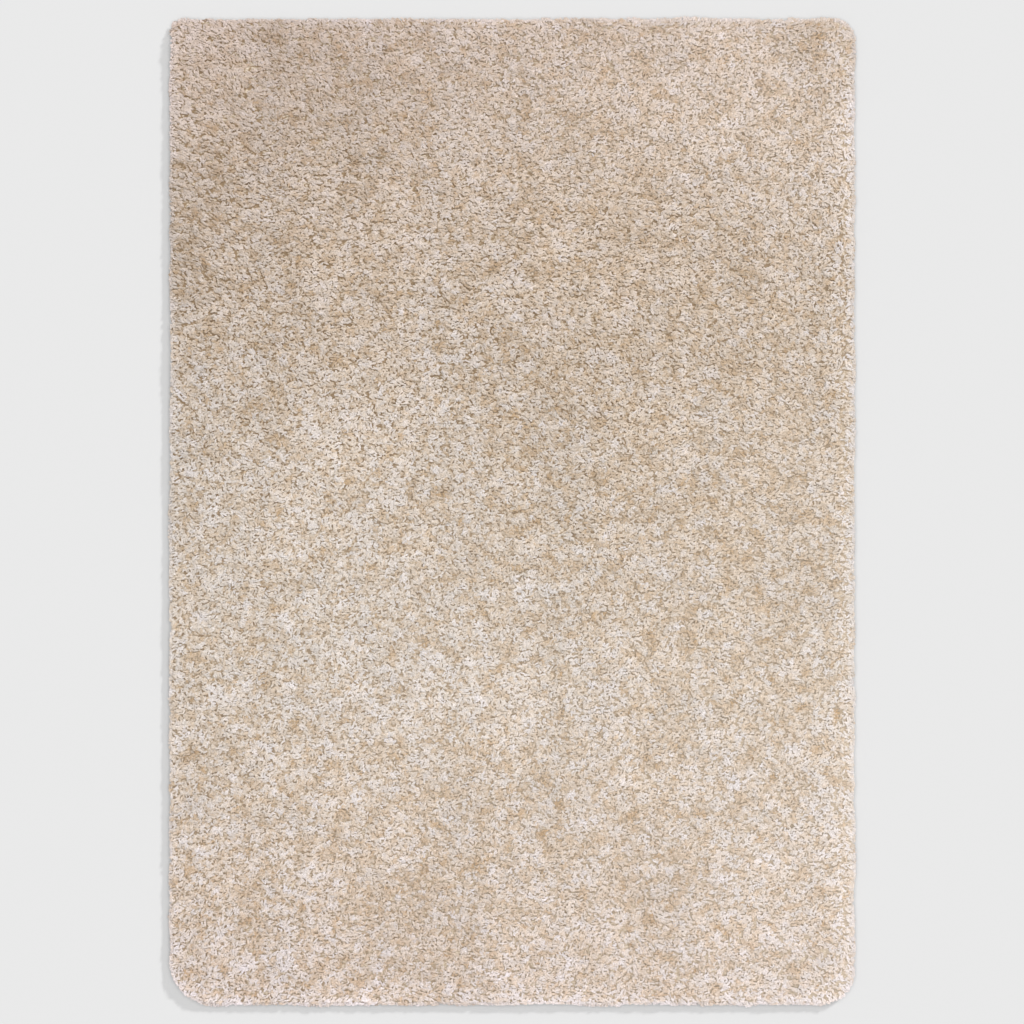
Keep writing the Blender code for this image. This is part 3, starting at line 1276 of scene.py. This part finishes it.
# Pits get painted shade: a darker tone, and through the mottle more gold.
mottle = layered_noise(tip_x, tip_y, MOTTLE_LAYERS) - PIT_PAINTED_SHADE * pit
tuft = layered_noise(tip_x, tip_y, TUFT_LAYERS)
spots = speckled(tip_x, tip_y)
own_tone = draw.normal(0, OWN_TONE, spot_x.size) + CLUMP_TONE * clump_tone[clump]
own_tone += (0.52 + 0.82 * spots) * tuft
lock_tone_and_painted_light = uneven * own_tone + (0.7 + 0.25 * spots) * mottle + rim_painted_pale
own_gold = layered_noise(tip_x, tip_y, GOLD_SPOT_LAYERS) - 0.5 * mottle - 1.3 * tuft
# Near the rim and in the lit band the gold is lessened, as painted light; pits add gold as painted
# shade.
nap_gold = nap_gold + USUAL_GOLD - rim_painted_pale - GOLD_LOST_TO_LIGHT * further_in + spots * own_gold
print(f"the locks' tones spread by {lock_tone_and_painted_light.std():.2f} and their gold by {nap_gold.std():.2f}")

# %% [markdown]
# ## Grow the pile
#
# Now each lock has a place, a form and its looks. The pile is grown in five bands across the
# rug, so that no mesh is too heavy to handle.

# %% Five bands of pile
BANDS = 5
LOCK_WIDTH = (3.7 * MM, 6.2 * MM)
BEND_LIFT = (-0.5 * MM, 2.5 * MM)

pile_locks = {
    "root": roots,
    "tip": tips,
    "width": draw.uniform(*LOCK_WIDTH, spot_x.size),
    "lift": draw.uniform(*BEND_LIFT, spot_x.size),
    "root_top": root_top,
    "tip_top": tip_top,
    "uneven": uneven,
    "painted_pile_shade": painted_nap_shade,
    "pile_gold": nap_gold,
    "lock_tone_and_painted_light": lock_tone_and_painted_light,
}
order = np.argsort(spot_y, kind="stable")
pile = []
for number, members in enumerate(np.array_split(order, BANDS)):
    band = {label: values[members] for label, values in pile_locks.items()}
    pile.append(grow_locks(f"pile_band_{number + 1}", band, yarn_finish, closed=False))

# %% [markdown]
# ## Grow the rim
#
# The locks round the rim are a little thinner and bend higher, because they hang free. They
# take the nap's painted shade at their place, with the rim's painted light, and they are
# painted paler and lighter still, as painted light. They are closed bodies, because they show
# from the side and from below.

# %% The locks round the rim
RIM_LOCK_WIDTH = (3.6 * MM, 5.6 * MM)
RIM_BEND_LIFT = (1.0 * MM, 4.0 * MM)
RIM_LOCK_TOP = 1 * MM
RIM_TONE_SPREAD = 0.8
# The rim locks are painted lighter as a whole, as painted light.
RIM_LOCK_SHADE = 0.6

side_count = len(side_roots)
side_x, side_y = side_roots[:, 0], side_roots[:, 1]
painted_side_shade, side_gold = brushed(side_x, side_y)[:2]
side_top = side_tips[:, 2] + RIM_LOCK_TOP
rim_lock_table = {
    "root": side_roots,
    "tip": side_tips,
    "width": draw.uniform(*RIM_LOCK_WIDTH, side_count),
    "lift": draw.uniform(*RIM_BEND_LIFT, side_count),
    "root_top": side_top,
    "tip_top": side_top,
    "uneven": ruffled(side_x, side_y),
    "painted_pile_shade": painted_side_shade + rim_light(outwards(side_x, side_y))[:, 0] + RIM_LOCK_SHADE,
    "pile_gold": side_gold - RIM_PAINTED_PALENESS,
    "lock_tone_and_painted_light": draw.normal(RIM_PAINTED_PALENESS, RIM_TONE_SPREAD, side_count),
}
rim = grow_locks("rim_locks", rim_lock_table, yarn_finish, closed=True)

# %% [markdown]
# ## The body of the pile
#
# Under the bent ends the yarn stands so close that it is one mass. It is a lumpy body that
# follows the pile's top a little lower down, so that the gaps between locks end on it. It is
# a grid, squeezed into the rounded outline and drawn down at its sides to the ground cloth.

# %% A grid in the rug's outline
def squeeze_inside(x, y, inset):
    """Points of a grid as large as the rug, squeezed in to its rounded outline, less an inset."""
    radius = np.zeros_like(x)
    for side_x, side_y, corner_radius in CORNERS:
        radius[(side_x * x >= 0) & (side_y * y >= 0)] = max(corner_radius, inset)
    x = x * (1 - inset / half_width)
    y = y * (1 - inset / half_length)
    past_x = np.abs(x) - (half_width - radius)
    past_y = np.abs(y) - (half_length - radius)
    far = np.hypot(past_x, past_y)
    out = (past_x > 0) & (past_y > 0) & (far > radius - inset)
    shrink = np.where(out, 1 - (radius - inset) / np.maximum(far, 1e-9), 0.0)
    return x - np.sign(x) * past_x * shrink, y - np.sign(y) * past_y * shrink


def rug_grid(across, along, inset):
    """A new flat mesh with this many cells, and its points' places inside the outline."""
    mesh = bmesh.new()
    bmesh.ops.create_grid(mesh, x_segments=across, y_segments=along, size=1.0)
    x = np.array([vertex.co.x for vertex in mesh.verts]) * half_width
    y = np.array([vertex.co.y for vertex in mesh.verts]) * half_length
    return mesh, *squeeze_inside(x, y, inset)


def finish_mesh(name, mesh):
    """An object of this name from a finished mesh."""
    bmesh.ops.recalc_face_normals(mesh, faces=mesh.faces)
    data = bpy.data.meshes.new(name)
    mesh.to_mesh(data)
    mesh.free()
    piece = bpy.data.objects.new(name, data)
    bpy.context.scene.collection.objects.link(piece)
    return piece


corner_x, corner_y = squeeze_inside(np.array([half_width]), np.array([half_length]), 0.0)
print(f"the grid's far right corner goes to {corner_x[0]:.3f}, {corner_y[0]:.3f} m")

# %% A lower, closed body
BODY_CELL = 17 * MM
BODY_BELOW = 5.2 * MM
BODY_UNEVEN = 0.5 * MM
BODY_INSET = 9 * MM
GROUND_THICKNESS = 2 * MM


def pile_body():
    """The closed body: a lumpy top, short sides and a level foot on the ground cloth."""
    across = round(2 * half_width / BODY_CELL)
    along = round(2 * half_length / BODY_CELL)
    mesh, x, y = rug_grid(across, along, BODY_INSET)
    z = pile_top(x, y) - BODY_BELOW + draw.uniform(-BODY_UNEVEN, BODY_UNEVEN, x.size)
    for vertex, place in zip(mesh.verts, zip(x, y, z, strict=True), strict=True):
        vertex.co = place
    rim_edges = [edge for edge in mesh.edges if edge.is_boundary]
    made = bmesh.ops.extrude_edge_only(mesh, edges=rim_edges)["geom"]
    for item in made:
        if isinstance(item, bmesh.types.BMVert):
            item.co.z = GROUND_THICKNESS
    foot = [edge for edge in mesh.edges if edge.is_boundary]
    bmesh.ops.contextual_create(mesh, geom=foot)
    return finish_mesh("pile_body", mesh)


body = pile_body()
body.data.shade_smooth()
places = np.zeros(3 * len(body.data.vertices))
body.data.vertices.foreach_get("co", places)
store(body.data, "unevenness", ruffled(places[0::3], places[1::3]))
print(f"pile_body: {len(body.data.polygons)} faces")

# %% [markdown]
# ## Yarn seen down between the ends
#
# The body stands for the same polyester yarn, seen down between the ends, where little light
# comes. That shade is painted into its colour: it is browner, and broken up: yarn ends about
# 4.6 mm apart, drawn as cells that are longer across the rug, and a mottle 9 mm wide, with
# painted shade in the gaps between the ends. Ruffled pile has darker painted shade in its
# gaps. Its bump points up a little more than a hard body's, as the locks' normals do.

# %% Painted shade: pale ends and brown gaps
# Yarn colours in painted shade, deep in the pile.
SHADED_DEEP_END = "d3c5b3"
SHADED_DEEP_GAP = "8e7960"
DEEP_MOTTLE = 9 * MM


def deep_colour(tree, where, ends):
    """Pale yarn ends and brown gaps between them, painted shade of the yarn deep down."""
    mottle = add_node(
        tree, "ShaderNodeTexNoise", {"Vector": where, "Scale": 1 / DEEP_MOTTLE, "Detail": 3.0}
    )
    mottled = add_node(
        tree,
        "ShaderNodeMath",
        {0: mottle.outputs["Fac"], 1: 1.2, 2: ends},
        operation="MULTIPLY_ADD",
    )
    place = add_node(
        tree,
        "ShaderNodeMapRange",
        {"Value": mottled.outputs[0], "From Min": 0.7, "From Max": 1.3},
    )
    unevenness = add_node(tree, "ShaderNodeAttribute", attribute_name="unevenness")
    # Ruffled pile gets more painted shade in its gaps.
    gap = add_node(
        tree,
        "ShaderNodeMath",
        {0: place.outputs[0], 1: unevenness.outputs["Fac"]},
        operation="MULTIPLY",
    )
    mixed = add_node(
        tree,
        "ShaderNodeMix",
        {SHARE: gap.outputs[0], FIRST: linear(SHADED_DEEP_END), SECOND: linear(SHADED_DEEP_GAP)},
        data_type="RGBA",
    )
    return mixed.outputs[MIXED]


print(f"the body's yarn runs from {SHADED_DEEP_END} to {SHADED_DEEP_GAP}")

# %% The body's material
END_SPACING = 4.6 * MM
CELL_STRETCH = (0.6, 1.0, 0.8)
END_BUMP = 2.5 * MM


def deep_yarn():
    """Yarn in the painted shade of the pile, with its ends as cells."""
    material, tree, shader = start_finish("polyester_yarn_in_shade", 0.95, POLYESTER_IOR, 0.1)
    where = add_node(tree, "ShaderNodeTexCoord").outputs["Object"]
    stretched = add_node(tree, "ShaderNodeMapping", {"Vector": where, "Scale": CELL_STRETCH})
    cells = add_node(
        tree, "ShaderNodeTexVoronoi", {"Vector": stretched.outputs[0], "Scale": 1 / END_SPACING}
    )
    ends = cells.outputs["Distance"]
    tree.links.new(deep_colour(tree, where, ends), shader.inputs["Base Color"])
    bump = add_node(
        tree,
        "ShaderNodeBump",
        {"Height": ends, "Strength": 1.0, "Distance": END_BUMP},
        invert=True,
    )
    towards_sky = add_node(
        tree, "ShaderNodeVectorMath", {0: bump.outputs[0], 1: (0, 0, SOFTNESS)}, operation="ADD"
    )
    soft = add_node(
        tree, "ShaderNodeVectorMath", {0: towards_sky.outputs[0]}, operation="NORMALIZE"
    )
    tree.links.new(soft.outputs[0], shader.inputs["Normal"])
    return material


body.data.materials.append(deep_yarn())
print(f"{body.data.materials[0].name}: ends {END_SPACING / MM:.1f} mm apart")

# %% [markdown]
# ## The ground cloth
#
# The tufts are held by a woven ground cloth, which shows only from below. It is a flat sheet,
# 2 mm thick, that ends inside the rim's yarn. It stops a hair below the body's foot, so that
# the two don't lie in one plane. A closed slab shows a face from every side.

# %% A flat sheet with rounded corners
GROUND_INSET = 16 * MM
GROUND_CELLS = (24, 34)
GROUND_GAP = 0.1 * MM


def ground_sheet():
    """The ground cloth with its rounded corners, as a closed slab."""
    mesh, x, y = rug_grid(*GROUND_CELLS, GROUND_INSET)
    for vertex, place in zip(mesh.verts, zip(x, y, strict=True), strict=True):
        vertex.co = (*place, GROUND_THICKNESS - GROUND_GAP)
    made = bmesh.ops.extrude_face_region(mesh, geom=mesh.faces[:])["geom"]
    for item in made:
        if isinstance(item, bmesh.types.BMVert):
            item.co.z = 0.0
    return finish_mesh("ground_cloth", mesh)


ground = ground_sheet()
print(f"ground_cloth: {len(ground.data.polygons)} faces")

# %% [markdown]
# ## Woven polypropylene tape
#
# A ground cloth is a plain weave of flat polypropylene tape, about 2.5 mm wide, in a dull
# straw colour. It is smoother than yarn, and its index of refraction is 1.49. Two sets of
# waves, one across and one along, make the weave: where both are high a tape lies on top, and
# where both are low is a hole between tapes. A wave's bands are pi / 10 apart at scale 1.

# %% The ground cloth's material
POLYPROPYLENE_IOR = 1.49
GROUND_THREAD = 2.5 * MM
TAPE_HOLE = "8f8166"
TAPE_TOP = "cdbf9f"
WEAVE_BUMP = 0.4 * MM


def woven_ground():
    """Flat polypropylene tape in a plain weave, as a ground cloth is made."""
    material, tree, shader = start_finish("woven_polypropylene_tape", 0.6, POLYPROPYLENE_IOR)
    where = add_node(tree, "ShaderNodeTexCoord").outputs["Object"]
    across, along = (
        add_node(
            tree,
            "ShaderNodeTexWave",
            {"Vector": where, "Scale": math.pi / 10 / GROUND_THREAD},
            bands_direction=axis,
        ).outputs["Fac"]
        for axis in ("X", "Y")
    )
    weave = add_node(tree, "ShaderNodeMath", {0: across, 1: along}, operation="MULTIPLY")
    mixed = add_node(
        tree,
        "ShaderNodeMix",
        {SHARE: weave.outputs[0], FIRST: linear(TAPE_HOLE), SECOND: linear(TAPE_TOP)},
        data_type="RGBA",
    )
    tree.links.new(mixed.outputs[MIXED], shader.inputs["Base Color"])
    bump = add_node(
        tree,
        "ShaderNodeBump",
        {"Height": weave.outputs[0], "Strength": 0.5, "Distance": WEAVE_BUMP},
    )
    tree.links.new(bump.outputs[0], shader.inputs["Normal"])
    return material


ground.data.materials.append(woven_ground())
print(f"{ground.data.materials[0].name}: tapes {GROUND_THREAD / MM:.1f} mm wide")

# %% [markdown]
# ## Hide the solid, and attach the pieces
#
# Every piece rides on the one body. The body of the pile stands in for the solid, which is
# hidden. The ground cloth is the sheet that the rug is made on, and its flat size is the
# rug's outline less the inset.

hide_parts("shag_pile")
for piece in (body, *pile, rim, ground):
    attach(piece, "root")
total = sum(count_triangles(piece) for piece in (body, *pile, rim, ground))
print(f"the rug has {total} triangles in all")
